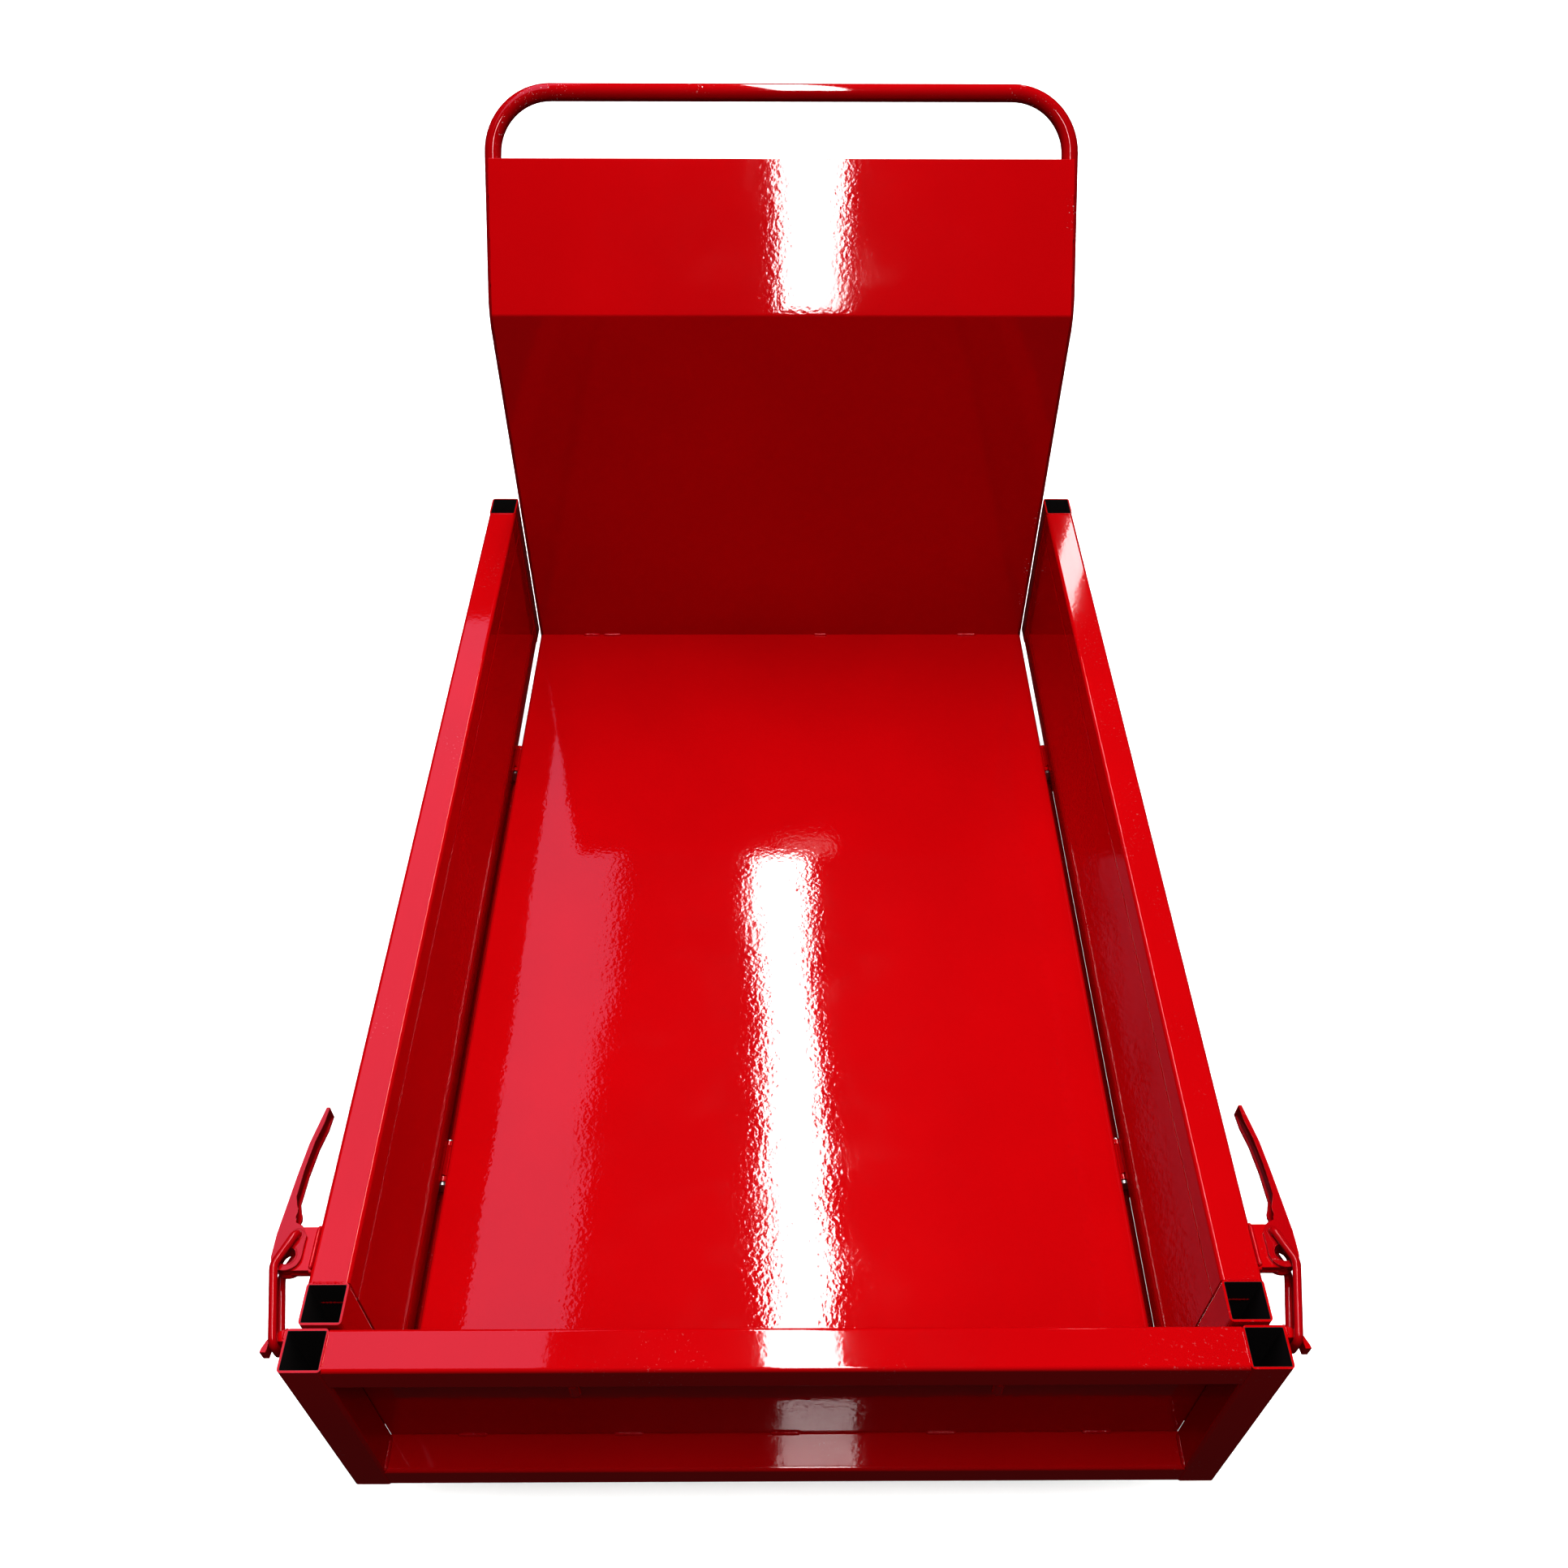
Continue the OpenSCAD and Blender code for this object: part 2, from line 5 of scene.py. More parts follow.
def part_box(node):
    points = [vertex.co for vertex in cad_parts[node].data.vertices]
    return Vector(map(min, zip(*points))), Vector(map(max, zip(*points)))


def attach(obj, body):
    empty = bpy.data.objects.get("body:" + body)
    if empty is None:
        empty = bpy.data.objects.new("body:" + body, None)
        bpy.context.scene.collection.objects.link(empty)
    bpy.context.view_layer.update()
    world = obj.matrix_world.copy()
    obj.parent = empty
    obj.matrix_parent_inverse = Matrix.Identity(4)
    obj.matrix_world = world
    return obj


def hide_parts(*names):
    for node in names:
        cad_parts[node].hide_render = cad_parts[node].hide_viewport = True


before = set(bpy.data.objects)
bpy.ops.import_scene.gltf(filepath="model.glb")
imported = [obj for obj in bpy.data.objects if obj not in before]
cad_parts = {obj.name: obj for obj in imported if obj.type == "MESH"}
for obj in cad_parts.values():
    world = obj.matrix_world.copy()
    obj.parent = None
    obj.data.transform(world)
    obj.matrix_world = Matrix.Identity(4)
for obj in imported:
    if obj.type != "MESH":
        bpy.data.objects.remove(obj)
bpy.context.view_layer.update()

# ---- Camera ----
# Stands ahead of the front gate at head height and looks down into the tray,
# so the gates' tops, the floor and the headboard are all in view.
pitch, yaw, roll = math.radians(46.83), math.radians(0.56), math.radians(0.35)
ahead = Vector((math.sin(yaw) * math.cos(pitch), math.cos(yaw) * math.cos(pitch), -math.sin(pitch)))
level = Vector((math.cos(yaw), -math.sin(yaw), 0))
upright = level.cross(ahead)
cam_x = math.cos(roll) * level + math.sin(roll) * upright
cam_y = math.cos(roll) * upright - math.sin(roll) * level
turned = Matrix((cam_x, cam_y, -ahead)).transposed().to_4x4()
camera = bpy.data.objects.new("camera", bpy.data.cameras.new("camera"))
camera.data.lens = 31.64
camera.data.sensor_width = 36
camera.data.clip_end = 100
camera.matrix_world = Matrix.Translation((-0.00784, -0.92125, 1.25653)) @ turned
bpy.context.collection.objects.link(camera)
bpy.context.scene.camera = camera

# ---- Workshop floor and light ----
# A pale floor under the tray. One long ceiling light runs over the tray's middle with
# soft light around it, a dim tinted panel hangs to its left, a small lamp stands at the
# far right, and soft panels fill from both sides.
bpy.context.scene.view_settings.view_transform = "Standard"
bpy.context.scene.view_settings.look = "None"
bpy.context.scene.view_settings.exposure = 0
bpy.context.scene.view_settings.gamma = 0.84


def pale_floor():
    """The ground under the tray, seen only from above and never mirrored."""
    mat = bpy.data.materials.new("pale_floor")
    mat.use_nodes = True
    nt = mat.node_tree
    bsdf = nt.nodes["Principled BSDF"]
    grain = nt.nodes.new("ShaderNodeTexNoise")
    grain.inputs["Scale"].default_value = 9
    grain.inputs["Detail"].default_value = 6
    tone = nt.nodes.new("ShaderNodeValToRGB")
    tone.color_ramp.elements[0].color = (0.86, 0.86, 0.855, 1)
    tone.color_ramp.elements[1].color = (0.91, 0.91, 0.905, 1)
    nt.links.new(grain.outputs["Fac"], tone.inputs["Fac"])
    nt.links.new(tone.outputs["Color"], bsdf.inputs["Base Color"])
    bsdf.inputs["Roughness"].default_value = 0.75
    # seen from below the floor is clear, so the tray's underside shows
    side = nt.nodes.new("ShaderNodeNewGeometry")
    clear = nt.nodes.new("ShaderNodeBsdfTransparent")
    mix = nt.nodes.new("ShaderNodeMixShader")
    nt.links.new(side.outputs["Backfacing"], mix.inputs["Fac"])
    nt.links.new(bsdf.outputs[0], mix.inputs[1])
    nt.links.new(clear.outputs[0], mix.inputs[2])
    nt.links.new(mix.outputs[0], nt.nodes["Material Output"].inputs["Surface"])
    bpy.ops.mesh.primitive_plane_add(size=16, location=(0, 0, 0))
    plane = bpy.context.object
    plane.name = "floor"
    plane.data.materials.append(mat)
    plane.visible_glossy = False
    plane.visible_diffuse = False


pale_floor()


def panel_light(name, where, aim, size, radiance, tint=(1, 1, 1), shows=True, turn=0.0):
    """A rectangular lamp; a hidden one lights the paint but isn't mirrored in it."""
    lamp = bpy.data.lights.new(name, "AREA")
    lamp.shape = "RECTANGLE"
    lamp.size, lamp.size_y = size
    lamp.energy = radiance * math.pi * size[0] * size[1]
    lamp.color = tint
    obj = bpy.data.objects.new(name, lamp)
    obj.location = where
    obj.rotation_mode = "QUATERNION"
    facing = (Vector(aim) - Vector(where)).to_track_quat("-Z", "Y")
    obj.rotation_quaternion = facing @ Quaternion((0, 0, 1), turn)
    obj.visible_glossy = shows
    bpy.context.collection.objects.link(obj)
    return obj


panel_light("ceiling_line", (0.05, 0.8, 2.95), (0.05, 0.8, 0), (0.20, 4.8), 24, turn=0.0256)
panel_light("ceiling_soft", (0.05, 0.8, 3.0), (0.05, 0.8, 0), (1.0, 5.8), 5.5, shows=False)
panel_light("ceiling_panel", (-1.02, 1.45, 2.9), (-1.02, 1.45, 0), (0.86, 3.7), 2.1, tint=(0.75, 0.50, 0.78))
panel_light("far_lamp", (1.24, 3.7, 2.9), (1.0, 3.0, 0), (0.11, 0.8), 11)
panel_light("left_fill", (-3.2, -1.2, 2.6), (0, 0, 0.2), (2.4, 2.4), 0.32, shows=False)
panel_light("right_fill", (3.2, -1.0, 2.6), (0, 0, 0.2), (2.4, 2.4), 0.52, shows=False)

# a wash that lights the pale floor and nothing else
wash = panel_light("floor_wash", (0, 0, 4.5), (0, 0, 0), (18, 18), 1.5, shows=False)
lit = bpy.data.collections.new("lit_by_wash")
lit.objects.link(bpy.data.objects["floor"])
wash.light_linking.receiver_collection = lit
wash.light_linking.blocker_collection = lit


def room_light():
    """Weak even light from all sides, weaker still in reflections, pale to the camera."""
    world = bpy.data.worlds.new("workshop")
    world.use_nodes = True
    bpy.context.scene.world = world
    nt = world.node_tree
    out = nt.nodes["World Output"]
    seen = nt.nodes["Background"]
    seen.inputs["Color"].default_value = (0.93, 0.93, 0.93, 1)
    seen.inputs["Strength"].default_value = 1.0
    soft = nt.nodes.new("ShaderNodeBackground")
    soft.inputs["Color"].default_value = (1, 0.99, 0.98, 1)
    soft.inputs["Strength"].default_value = 0.075
    dim = nt.nodes.new("ShaderNodeBackground")
    dim.inputs["Color"].default_value = (1, 1, 1, 1)
    dim.inputs["Strength"].default_value = 0.012
    path = nt.nodes.new("ShaderNodeLightPath")
    first = nt.nodes.new("ShaderNodeMixShader")
    second = nt.nodes.new("ShaderNodeMixShader")
    nt.links.new(path.outputs["Is Glossy Ray"], first.inputs["Fac"])
    nt.links.new(soft.outputs[0], first.inputs[1])
    nt.links.new(dim.outputs[0], first.inputs[2])
    nt.links.new(path.outputs["Is Camera Ray"], second.inputs["Fac"])
    nt.links.new(first.outputs[0], second.inputs[1])
    nt.links.new(seen.outputs[0], second.inputs[2])
    nt.links.new(second.outputs[0], out.inputs["Surface"])


room_light()

# ---- Floor pan, gate panels and the red powder coat ----
# Flat sheet, sprayed with gloss red powder and baked. The sheet is a little wavy,
# and the coat has a fine orange-peel skin with a few dimples.
def powder_skin():
    """Colour, roughness and height of baked powder over sheet or tube."""
    g = bpy.data.node_groups.new("powder_skin", "ShaderNodeTree")
    new = g.interface.new_socket
    new("Paint", in_out="INPUT", socket_type="NodeSocketColor")
    new("Peel", in_out="INPUT", socket_type="NodeSocketFloat")
    new("Wave", in_out="INPUT", socket_type="NodeSocketFloat")
    new("Dimples", in_out="INPUT", socket_type="NodeSocketFloat")
    new("Chips", in_out="INPUT", socket_type="NodeSocketFloat")
    new("Color", in_out="OUTPUT", socket_type="NodeSocketColor")
    new("Roughness", in_out="OUTPUT", socket_type="NodeSocketFloat")
    new("Height", in_out="OUTPUT", socket_type="NodeSocketFloat")
    n, l = g.nodes, g.links
    gin, gout = n.new("NodeGroupInput"), n.new("NodeGroupOutput")
    place = n.new("ShaderNodeTexCoord")

    def noise(scale, detail=2.0, rough=0.5):
        t = n.new("ShaderNodeTexNoise")
        t.inputs["Scale"].default_value = scale
        t.inputs["Detail"].default_value = detail
        t.inputs["Roughness"].default_value = rough
        l.new(place.outputs["Object"], t.inputs["Vector"])
        return t.outputs["Fac"]

    def calc(op, a, b, c=None):
        m = n.new("ShaderNodeMath")
        m.operation = op
        for i, v in enumerate((a, b, c)):
            if v is None:
                continue
            if isinstance(v, (int, float)):
                m.inputs[i].default_value = v
            else:
                l.new(v, m.inputs[i])
        return m.outputs[0]

    def band(value, low, high):
        r = n.new("ShaderNodeMapRange")
        r.interpolation_type = "SMOOTHSTEP"
        r.inputs["From Min"].default_value = low
        r.inputs["From Max"].default_value = high
        l.new(value, r.inputs["Value"])
        return r.outputs["Result"]

    peel = calc("ADD", calc("MULTIPLY", noise(240, 1.5), 0.9), calc("MULTIPLY", noise(110, 1.0), 0.6))
    wave = calc("ADD", calc("MULTIPLY", noise(3.6, 0.0), 0.9), calc("MULTIPLY", noise(13, 0.5), 0.16))
    cells = n.new("ShaderNodeTexVoronoi")
    cells.inputs["Scale"].default_value = 7
    l.new(place.outputs["Object"], cells.inputs["Vector"])
    dimple = calc("SUBTRACT", 1.0, band(cells.outputs["Distance"], 0.01, 0.05))
    dimple = calc("MULTIPLY", dimple, band(noise(5, 0), 0.5, 0.6))
    height = calc("MULTIPLY", peel, gin.outputs["Peel"])
    height = calc("MULTIPLY_ADD", wave, gin.outputs["Wave"], height)
    height = calc("MULTIPLY_ADD", dimple, calc("MULTIPLY", gin.outputs["Dimples"], -1), height)
    chip = calc("MULTIPLY", band(noise(430, 3, 0.7), 0.64, 0.68), band(noise(11, 1), 0.56, 0.66))
    chip = calc("MULTIPLY", chip, gin.outputs["Chips"])
    shade = n.new("ShaderNodeMix")
    shade.data_type = "RGBA"
    shade.blend_type = "MULTIPLY"
    shade.inputs["Factor"].default_value = 1.0
    tone = n.new("ShaderNodeValToRGB")
    tone.color_ramp.elements[0].color = (0.95, 0.95, 0.95, 1)
    tone.color_ramp.elements[1].color = (1.03, 1.03, 1.03, 1)
    tone.color_ramp.elements[0].position = 0.3
    tone.color_ramp.elements[1].position = 0.7
    l.new(noise(7, 4), tone.inputs["Fac"])
    l.new(gin.outputs["Paint"], shade.inputs["A"])
    l.new(tone.outputs["Color"], shade.inputs["B"])
    bare = n.new("ShaderNodeMix")
    bare.data_type = "RGBA"
    l.new(chip, bare.inputs["Factor"])
    l.new(shade.outputs["Result"], bare.inputs["A"])
    bare.inputs["B"].default_value = (0.52, 0.50, 0.50, 1)
    l.new(bare.outputs["Result"], gout.inputs["Color"])
    smear = calc("MULTIPLY", band(noise(18, 5, 0.6), 0.45, 0.75), 0.03)
    l.new(calc("MULTIPLY_ADD", chip, 0.35, calc("ADD", smear, 0.035)), gout.inputs["Roughness"])
    l.new(height, gout.inputs["Height"])
    return g


powder = powder_skin()


def powder_coat(name, paint=(0.48, 0.0008, 0.003), peel=0.010, wave=0.0, dimples=0.0, chips=0.0, edge=0.0):
    """Gloss red powder; peel, wave and dimples are heights in millimetres."""
    mat = bpy.data.materials.new(name)
    mat.use_nodes = True
    nt = mat.node_tree
    bsdf = nt.nodes["Principled BSDF"]
    bsdf.inputs["IOR"].default_value = 1.55
    skin = nt.nodes.new("ShaderNodeGroup")
    skin.node_tree = powder
    skin.inputs["Paint"].default_value = (*paint, 1)
    skin.inputs["Peel"].default_value = peel
    skin.inputs["Wave"].default_value = wave
    skin.inputs["Dimples"].default_value = dimples
    skin.inputs["Chips"].default_value = chips
    bump = nt.nodes.new("ShaderNodeBump")
    bump.inputs["Distance"].default_value = 0.001
    bump.inputs["Strength"].default_value = 1.0
    nt.links.new(skin.outputs["Color"], bsdf.inputs["Base Color"])
    nt.links.new(skin.outputs["Roughness"], bsdf.inputs["Roughness"])
    nt.links.new(skin.outputs["Height"], bump.inputs["Height"])
    nt.links.new(bump.outputs["Normal"], bsdf.inputs["Normal"])
    if edge:
        round_edge = nt.nodes.new("ShaderNodeBevel")
        round_edge.samples = 4
        round_edge.inputs["Radius"].default_value = edge
        nt.links.new(round_edge.outputs["Normal"], bump.inputs["Normal"])
    return mat


def finish_node(node, mat):
    """Gives a CAD piece its material."""
    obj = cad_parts[node]
    obj.data.materials.clear()
    obj.data.materials.append(mat)


red_sheet = powder_coat("red_sheet", peel=0.055, wave=1.9, dimples=0.3, edge=0.0004)
finish_node("floor_pan", red_sheet)
for gate in ("front", "left", "right"):
    finish_node(gate + "_panel", red_sheet)

# ---- Gate rails, posts and the underframe's tubes ----
# Square welded tube under the same powder. The bores of the posts and cross members are coloured near-black
# and rough along their whole length, as painted shade inside the tubes.
def bore_shade_mask():
    """1 inside a straight tube's bore, where the shade is painted; 0 on its outside and its cut ends."""
    g = bpy.data.node_groups.new("bore_shade_mask", "ShaderNodeTree")
    g.interface.new_socket("Centre", in_out="INPUT", socket_type="NodeSocketVector")
    g.interface.new_socket("Half", in_out="INPUT", socket_type="NodeSocketVector")
    g.interface.new_socket("Mask", in_out="OUTPUT", socket_type="NodeSocketFloat")
    n, l = g.nodes, g.links
    gin, gout = n.new("NodeGroupInput"), n.new("NodeGroupOutput")
    place = n.new("ShaderNodeTexCoord")
    chain = place.outputs["Object"]
    for op, other in (("SUBTRACT", "Centre"), ("ABSOLUTE", None), ("DIVIDE", "Half")):
        v = n.new("ShaderNodeVectorMath")
        v.operation = op
        l.new(chain, v.inputs[0])
        if other:
            l.new(gin.outputs[other], v.inputs[1])
        chain = v.outputs[0]
    parts = n.new("ShaderNodeSeparateXYZ")
    l.new(chain, parts.inputs[0])
    most = n.new("ShaderNodeMath")
    most.operation = "MAXIMUM"
    l.new(parts.outputs[0], most.inputs[0])
    l.new(parts.outputs[1], most.inputs[1])
    most2 = n.new("ShaderNodeMath")
    most2.operation = "MAXIMUM"
    l.new(most.outputs[0], most2.inputs[0])
    l.new(parts.outputs[2], most2.inputs[1])
    inside = n.new("ShaderNodeMath")
    inside.operation = "LESS_THAN"
    inside.inputs[1].default_value = 1.0
    l.new(most2.outputs[0], inside.inputs[0])
    l.new(inside.outputs[0], gout.inputs["Mask"])
    return g


# mask for the painted shade in the tubes' bores
bore = bore_shade_mask()


def tube_coat(node, along, wall):
    """Powder outside, and near-black painted shade in the bore of a tube that runs along an axis."""
    lo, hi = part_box(node)
    half = [(b - a) / 2 - wall + 0.0002 for a, b in zip(lo, hi)]
    half[along] = 10.0
    mat = powder_coat("red_tube_" + node, peel=0.010, wave=0.16, chips=0.12)
    nt = mat.node_tree
    bsdf = nt.nodes["Principled BSDF"]
    mask = nt.nodes.new("ShaderNodeGroup")
    mask.node_tree = bore
    mask.inputs["Centre"].default_value = (lo + hi) / 2
    mask.inputs["Half"].default_value = half
    # the near-black bore colour is painted shade, not the steel's own colour
    for socket, dull in (("Base Color", (0.014, 0.010, 0.010, 1)), ("Roughness", 0.75)):
        link = bsdf.inputs[socket].links[0]
        source = link.from_socket
        mix = nt.nodes.new("ShaderNodeMix")
        mix.data_type = "RGBA" if socket == "Base Color" else "FLOAT"
        a, b = [s for s in mix.inputs if s.name in "AB" and s.enabled]
        b.default_value = dull
        nt.links.new(mask.outputs["Mask"], mix.inputs[0])
        nt.links.new(source, a)
        nt.links.new([s for s in mix.outputs if s.enabled][0], bsdf.inputs[socket])
    finish_node(node, mat)


for post in ("front_post_left", "front_post_right", "left_front_post", "left_rear_post",
             "right_front_post", "right_rear_post"):
    tube_coat(post, 2, 0.0018)
for i in range(1, 5):
    tube_coat(f"cross_member_{i}", 0, 0.0018)
red_rail = powder_coat("red_rail", peel=0.016, wave=0.20, chips=0.15)
for side in ("left", "right"):
    finish_node("base_rail_" + side, red_rail)
for gate in ("front", "left", "right"):
    for rail in ("_top_rail", "_bottom_rail"):
        finish_node(gate + rail, red_rail)

# ---- Headboard ----
# One 2 mm sheet with a soft fold across it; its upper part leans back 40 degrees.
# The sheet is drawn here with the fold's real bend radius and dulled edges.
def bent_sheet(name, half_width, profile, thickness, sections):
    """Sweeps a Y-Z profile across X and rounds the four long corners."""
    bm = bmesh.new()
    n = len(profile)
    rows = []
    for k, (y, z) in enumerate(profile):
        a = Vector(profile[max(k - 1, 0)])
        b = Vector(profile[min(k + 1, n - 1)])
        along = (b - a).normalized()
        back = Vector((along[1], -along[0]))
        rows.append((Vector((y, z)), back * thickness))
    grid = []
    for front in (True, False):
        sheet = []
        for p, off in rows:
            q = p if front else p + off
            sheet.append([bm.verts.new((-half_width + 2 * half_width * i / sections, q[0], q[1]))
                          for i in range(sections + 1)])
        grid.append(sheet)
    f, b = grid
    for k in range(n - 1):
        for i in range(sections):
            bm.faces.new((f[k][i], f[k][i + 1], f[k + 1][i + 1], f[k + 1][i]))
            bm.faces.new((b[k][i + 1], b[k][i], b[k + 1][i], b[k + 1][i + 1]))
        bm.faces.new((f[k + 1][0], b[k + 1][0], b[k][0], f[k][0]))
        bm.faces.new((f[k][-1], b[k][-1], b[k + 1][-1], f[k + 1][-1]))
    for i in range(sections):
        bm.faces.new((f[-1][i], f[-1][i + 1], b[-1][i + 1], b[-1][i]))
        bm.faces.new((f[0][i + 1], f[0][i], b[0][i], b[0][i + 1]))
    bmesh.ops.recalc_face_normals(bm, faces=bm.faces)
    mesh = bpy.data.meshes.new(name)
    bm.to_mesh(mesh)
    bm.free()
    obj = bpy.data.objects.new(name, mesh)
    bpy.context.collection.objects.link(obj)
    for poly in mesh.polygons:
        poly.use_smooth = True
    soften = obj.modifiers.new("dulled_edges", "BEVEL")
    soften.width = 0.0006
    soften.segments = 2
    soften.limit_method = "ANGLE"
    soften.angle_limit = math.radians(50)
    soften.harden_normals = True
    return obj


lo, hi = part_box("headboard")
fold_z, lean, slope, bend, sheet = 0.5455, math.radians(40), 0.156, 0.005, 0.002
cut = bend * math.tan(lean / 2)
profile = [(lo.y, lo.z + (fold_z - cut - lo.z) * i / 8) for i in range(9)]
for i in range(1, 8):
    a = lean * i / 8
    profile.append((lo.y + bend * (1 - math.cos(a)), fold_z - cut + bend * math.sin(a)))
profile += [(lo.y + s * math.sin(lean), fold_z + s * math.cos(lean))
            for s in [cut + (slope - cut) * i / 4 for i in range(5)]]
headboard = bent_sheet("headboard_sheet", hi.x, profile, sheet, 12)


def worn_edge(mat, side, reach):
    """Lets the chips show only near the sheet's edge on one side of X."""
    nt = mat.node_tree
    place = nt.nodes.new("ShaderNodeTexCoord")
    split = nt.nodes.new("ShaderNodeSeparateXYZ")
    near = nt.nodes.new("ShaderNodeMapRange")
    near.inputs["From Min"].default_value = side - reach
    near.inputs["From Max"].default_value = side
    near.inputs["To Max"].default_value = 4.0
    skin = next(n for n in nt.nodes if n.type == "GROUP")
    nt.links.new(place.outputs["Object"], split.inputs[0])
    nt.links.new(split.outputs["X"], near.inputs["Value"])
    nt.links.new(near.outputs["Result"], skin.inputs["Chips"])


red_headboard = powder_coat("red_headboard", peel=0.040, wave=1.1, dimples=0.15)
worn_edge(red_headboard, hi.x, 0.008)
headboard.data.materials.append(red_headboard)
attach(headboard, "bed")
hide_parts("headboard")

# ---- Hoop ----
# Round tube bent to an arch behind the headboard and stitched to its edges.
# It takes the knocks, so the powder on it has the most nicks.
# the hoop's red is darker than the other parts' powder: painted shade
finish_node("hoop", powder_coat("red_hoop_painted_shade", paint=(0.38, 0.0008, 0.003), peel=0.008, wave=0.05, chips=1.0))

# ---- Hinges, lug, sills, keepers, pegs, brackets and levers ----
# Flame-cut plate and pressed sheet, powder coated with the frames after welding.
# The levers are handled, so their coat is more chipped; the levers, their pivots and toe bushes get a darker
# red than the rest, as painted shade.
red_plate = powder_coat("red_plate", peel=0.012, wave=0.05, chips=0.3, edge=0.0006)
for node in ("strut_lug", "front_hinge_ears", "left_hinge_ears", "right_hinge_ears",
             "front_hinge_lugs", "left_hinge_lugs", "right_hinge_lugs", "keeper_left", "keeper_right",
             "rope_pegs", "left_latch_bracket", "right_latch_bracket", "side_sill_left", "side_sill_right"):
    finish_node(node, red_plate)
# darker copy of the red powder: painted shade for levers, pivots, toe bushes and bail rods
painted_shade_red = (0.40, 0.0009, 0.004)
red_lever_painted_shade = powder_coat("red_lever_painted_shade", paint=painted_shade_red, peel=0.011, wave=0.1, chips=0.7, edge=0.0007)
for node in ("left_lever", "right_lever", "left_latch_pivot", "right_latch_pivot",
             "left_toe_bushes", "right_toe_bushes"):
    finish_node(node, red_lever_painted_shade)

# ---- Hinge pins and pivot bushes ----
# Zinc-plated pins and turned steel bushes, fitted after painting and left bare.
# Both have faint turning lines and patches of dull stain.
def turned_steel(name, colour, rough, ring):
    """Bare metal with stains; ring is the scale of the turning lines."""
    mat = bpy.data.materials.new(name)
    mat.use_nodes = True
    nt = mat.node_tree
    bsdf = nt.nodes["Principled BSDF"]
    bsdf.inputs["Metallic"].default_value = 1.0
    place = nt.nodes.new("ShaderNodeTexCoord")
    stain = nt.nodes.new("ShaderNodeTexNoise")
    stain.inputs["Scale"].default_value = 60
    stain.inputs["Detail"].default_value = 5
    nt.links.new(place.outputs["Object"], stain.inputs["Vector"])
    tone = nt.nodes.new("ShaderNodeValToRGB")
    tone.color_ramp.elements[0].color = (*[c * 0.72 for c in colour], 1)
    tone.color_ramp.elements[1].color = (*colour, 1)
    tone.color_ramp.elements[0].position = 0.35
    tone.color_ramp.elements[1].position = 0.65
    nt.links.new(stain.outputs["Fac"], tone.inputs["Fac"])
    nt.links.new(tone.outputs["Color"], bsdf.inputs["Base Color"])
    dull = nt.nodes.new("ShaderNodeMapRange")
    dull.inputs["To Min"].default_value = rough - 0.08
    dull.inputs["To Max"].default_value = rough + 0.12
    nt.links.new(stain.outputs["Fac"], dull.inputs["Value"])
    nt.links.new(dull.outputs["Result"], bsdf.inputs["Roughness"])
    lines = nt.nodes.new("ShaderNodeTexNoise")
    lines.inputs["Scale"].default_value = ring
    nt.links.new(place.outputs["Object"], lines.inputs["Vector"])
    bump = nt.nodes.new("ShaderNodeBump")
    bump.inputs["Distance"].default_value = 0.00002
    nt.links.new(lines.outputs["Fac"], bump.inputs["Height"])
    nt.links.new(bump.outputs["Normal"], bsdf.inputs["Normal"])
    return mat


zinc = turned_steel("zinc_plate", (0.60, 0.61, 0.60), 0.34, 900)
for gate in ("front", "left", "right"):
    finish_node(gate + "_hinge_pins", zinc)
bush_steel = turned_steel("bush_steel", (0.33, 0.32, 0.31), 0.42, 1200)
for side in ("left", "right"):
    finish_node("pivot_bush_" + side, bush_steel)

# ---- Bails ----
# 6 mm rod bent cold: toes into the lever's bushes, a knee in each leg that clears
# the lever's nose, and a cross bar that lies in the keeper.
def round_path(points, radii, steps=6):
    """Rounds the corners of a polyline with arcs of the given radii."""
    out = [Vector(points[0])]
    for i in range(1, len(points) - 1):
        p = Vector(points[i])
        a, b = (p - Vector(points[i - 1])).normalized(), (Vector(points[i + 1]) - p).normalized()
        turn = a.angle(b)
        reach = radii[i] * math.tan(turn / 2)
        start = p - a * reach
        inward = (b - a * a.dot(b)).normalized()
        centre = start + inward * radii[i]
        for k in range(steps + 1):
            t = turn * k / steps
            out.append(centre + (a * math.sin(t) - inward * math.cos(t)) * radii[i])
    out.append(Vector(points[-1]))
    return out


def sweep_rod(bm, path, radius, sides=16, closed=False):
    """Adds a round rod along a path; radius is a number or one value for each point."""
    n = len(path)
    tangents = []
    for i in range(n):
        a = path[(i - 1) % n] if closed or i else path[i]
        b = path[(i + 1) % n] if closed or i < n - 1 else path[i]
        tangents.append((b - a).normalized())
    side = tangents[0].orthogonal().normalized()
    rings = []
    for i, p in enumerate(path):
        side = (side - tangents[i] * side.dot(tangents[i])).normalized()
        other = tangents[i].cross(side)
        r = radius[i] if isinstance(radius, list) else radius
        rings.append([bm.verts.new(p + (side * math.cos(2 * math.pi * k / sides)
                                        + other * math.sin(2 * math.pi * k / sides)) * r)
                      for k in range(sides)])
    for i in range(n if closed else n - 1):
        a, b = rings[i], rings[(i + 1) % n]
        for k in range(sides):
            bm.faces.new((a[k], a[(k + 1) % sides], b[(k + 1) % sides], b[k])).smooth = True
    if not closed:
        bm.faces.new(rings[0][::-1])
        bm.faces.new(rings[-1])


def keep_mesh(bm, name, body, mat):
    """Turns a bmesh into a piece that rides on a body."""
    bmesh.ops.recalc_face_normals(bm, faces=bm.faces)
    mesh = bpy.data.meshes.new(name)
    bm.to_mesh(mesh)
    bm.free()
    obj = bpy.data.objects.new(name, mesh)
    bpy.context.collection.objects.link(obj)
    obj.data.materials.append(mat)
    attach(obj, body)
    return obj
